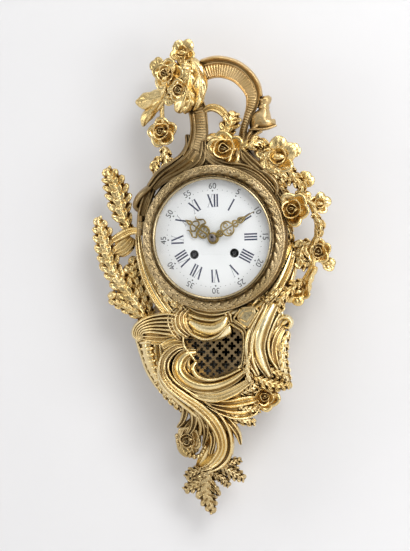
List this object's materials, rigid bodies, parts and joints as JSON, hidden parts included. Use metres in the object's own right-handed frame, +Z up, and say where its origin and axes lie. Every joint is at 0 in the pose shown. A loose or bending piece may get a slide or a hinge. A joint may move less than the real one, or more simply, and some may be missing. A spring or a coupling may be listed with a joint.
{
  "type": "cartel wall clock",
  "caption": "Gilt bronze cartel wall clock with a round enamel dial, a glazed front door, scrolls, leaves and roses, and a striking pendulum movement.",
  "frame": {"origin": "the middle of the hanging eye's hole, in the plane where it meets the wall", "axes": "+Z up, -Y out of the wall towards the viewer, +X to the right as seen from the front"},
  "size_m": [0.2552, 0.1013, 0.4868],
  "materials": {
    "gilt_bronze": "fire-gilt, cast and chased",
    "brass_parts": "brushed",
    "bell_metal": "turned bell metal",
    "steel_parts": "polished",
    "enamel": "glossy white enamel with black numerals",
    "glass": "clear"
  },
  "bodies": {
    "case": {"case_body": "gilt_bronze", "crest_scroll": "gilt_bronze", "crest_trumpet": "gilt_bronze", "crest_bouquet": "gilt_bronze", "blossom_drop": "gilt_bronze", "centre_rose": "gilt_bronze", "garland_flower": "gilt_bronze", "garland_roses": "gilt_bronze", "garland_tail": "gilt_bronze", "left_leaf_branch": "gilt_bronze", "left_rim_scroll": "gilt_bronze", "right_palm_leaf": "gilt_bronze", "apron_moulding": "gilt_bronze", "sound_grille": "gilt_bronze", "grille_scroll": "gilt_bronze", "left_shell": "gilt_bronze", "right_twin_scroll": "gilt_bronze", "tail_scroll": "gilt_bronze", "lower_foliage": "gilt_bronze", "lower_rose_right": "gilt_bronze", "tail_blossom_left": "gilt_bronze", "tail_leaves": "gilt_bronze", "hanging_plate": "steel_parts", "rear_ring": "brass_parts", "hinge_pins": "steel_parts", "case_screws": "steel_parts", "movement_straps": "brass_parts", "dial_plate": "brass_parts", "dial_enamel": "enamel", "front_plate": "brass_parts", "back_plate": "brass_parts", "plate_pillars": "brass_parts", "pillar_nuts": "brass_parts", "suspension_cock": "brass_parts", "bell": "bell_metal", "bell_stand": "brass_parts"},
    "bezel_door": {"bezel_ring": "gilt_bronze", "bezel_glass": "glass", "bezel_sight_ring": "gilt_bronze"},
    "rear_door": {"rear_door": "brass_parts"},
    "minute": {"minute_hand": "gilt_bronze", "hand_nut": "steel_parts", "cannon_pinion": "brass_parts"},
    "hour": {"hour_hand": "gilt_bronze", "hour_wheel": "brass_parts"},
    "minute_wheel": {"minute_wheel": "brass_parts"},
    "going_barrel": {"going_barrel": "brass_parts"},
    "intermediate_wheel": {"intermediate_wheel": "brass_parts"},
    "centre_wheel": {"centre_wheel": "brass_parts"},
    "third_wheel": {"third_wheel": "brass_parts"},
    "escape_wheel": {"escape_wheel": "brass_parts"},
    "going_winding_arbor": {"going_winding_arbor": "steel_parts"},
    "strike_barrel": {"strike_barrel": "brass_parts"},
    "strike_winding_arbor": {"strike_winding_arbor": "steel_parts"},
    "strike_second_wheel": {"strike_second_wheel": "brass_parts"},
    "pin_wheel": {"pin_wheel": "brass_parts"},
    "fly": {"fly": "brass_parts"},
    "hammer": {"hammer": "steel_parts"},
    "pendulum": {"anchor_and_crutch": "steel_parts", "pendulum": "brass_parts"}
  },
  "joints": [
    {"name": "bezel_door_hinge", "type": "hinge", "parent": "case", "child": "bezel_door", "pos_m": [-0.0764, -0.0849, -0.087], "axis": [0, 0, -1], "range_deg": [0, 100]},
    {"name": "rear_door_hinge", "type": "hinge", "parent": "case", "child": "rear_door", "pos_m": [0.0482, -0.00183, -0.09], "axis": [0, 0, -1], "range_deg": [0, 110]},
    {"name": "minute_hand_turn", "type": "hinge", "parent": "case", "child": "minute", "pos_m": [0, -0.05, -0.09], "axis": [0, 1, 0], "continuous": true},
    {"name": "hour_hand_turn", "type": "hinge", "parent": "case", "child": "hour", "pos_m": [0, -0.05, -0.09], "axis": [0, 1, 0], "continuous": true},
    {"name": "minute_wheel_turn", "type": "hinge", "parent": "case", "child": "minute_wheel", "pos_m": [0.00563, -0.05, -0.07941], "axis": [0, 1, 0], "continuous": true},
    {"name": "going_barrel_turn", "type": "hinge", "parent": "case", "child": "going_barrel", "pos_m": [0.02103, -0.05, -0.10477], "axis": [0, 1, 0], "continuous": true},
    {"name": "intermediate_wheel_turn", "type": "hinge", "parent": "case", "child": "intermediate_wheel", "pos_m": [0.01544, -0.05, -0.08484], "axis": [0, 1, 0], "continuous": true},
    {"name": "centre_wheel_turn", "type": "hinge", "parent": "case", "child": "centre_wheel", "pos_m": [0, -0.05, -0.09], "axis": [0, 1, 0], "continuous": true},
    {"name": "third_wheel_turn", "type": "hinge", "parent": "case", "child": "third_wheel", "pos_m": [-0.01103, -0.05, -0.07989], "axis": [0, 1, 0], "continuous": true},
    {"name": "escape_wheel_turn", "type": "hinge", "parent": "case", "child": "escape_wheel", "pos_m": [-0.00066, -0.05, -0.07101], "axis": [0, 1, 0], "continuous": true},
    {"name": "going_winding", "type": "hinge", "parent": "case", "child": "going_winding_arbor", "pos_m": [0.02103, -0.05, -0.10477], "axis": [0, 1, 0], "continuous": true},
    {"name": "strike_barrel_turn", "type": "hinge", "parent": "case", "child": "strike_barrel", "pos_m": [-0.01995, -0.05, -0.10621], "axis": [0, 1, 0], "continuous": true},
    {"name": "strike_second_wheel_turn", "type": "hinge", "parent": "case", "child": "strike_second_wheel", "pos_m": [-0.0277, -0.05, -0.08701], "axis": [0, 1, 0], "continuous": true},
    {"name": "pin_wheel_turn", "type": "hinge", "parent": "case", "child": "pin_wheel", "pos_m": [-0.02446, -0.05, -0.07298], "axis": [0, 1, 0], "continuous": true},
    {"name": "fly_turn", "type": "hinge", "parent": "case", "child": "fly", "pos_m": [-0.02669, -0.05, -0.0625], "axis": [0, 1, 0], "continuous": true},
    {"name": "strike_winding", "type": "hinge", "parent": "case", "child": "strike_winding_arbor", "pos_m": [-0.01995, -0.05, -0.10621], "axis": [0, 1, 0], "continuous": true},
    {"name": "hammer_swing", "type": "hinge", "parent": "case", "child": "hammer", "pos_m": [-0.01407, -0.05, -0.05947], "axis": [0, 1, 0], "range_deg": [0, 12], "stiffness_Nm_per_rad": 0.02, "springref_deg": -2.86},
    {"name": "pendulum_swing", "type": "hinge", "parent": "case", "child": "pendulum", "pos_m": [-0.00115, -0.05, -0.05702], "axis": [0, 1, 0], "range_deg": [-4, 4]}
  ],
  "couplings": [
    {"joint": "hour_hand_turn", "follows": "minute_hand_turn", "ratio": 0.083333},
    {"joint": "minute_wheel_turn", "follows": "minute_hand_turn", "ratio": -0.33333},
    {"joint": "third_wheel_turn", "follows": "escape_wheel_turn", "ratio": -0.083333},
    {"joint": "centre_wheel_turn", "follows": "escape_wheel_turn", "ratio": 0.0083333},
    {"joint": "intermediate_wheel_turn", "follows": "escape_wheel_turn", "ratio": -0.0010101},
    {"joint": "going_barrel_turn", "follows": "escape_wheel_turn", "ratio": 0.00012626},
    {"joint": "pin_wheel_turn", "follows": "fly_turn", "ratio": -0.11667},
    {"joint": "strike_second_wheel_turn", "follows": "fly_turn", "ratio": 0.012963},
    {"joint": "strike_barrel_turn", "follows": "fly_turn", "ratio": -0.0016204}
  ]
}
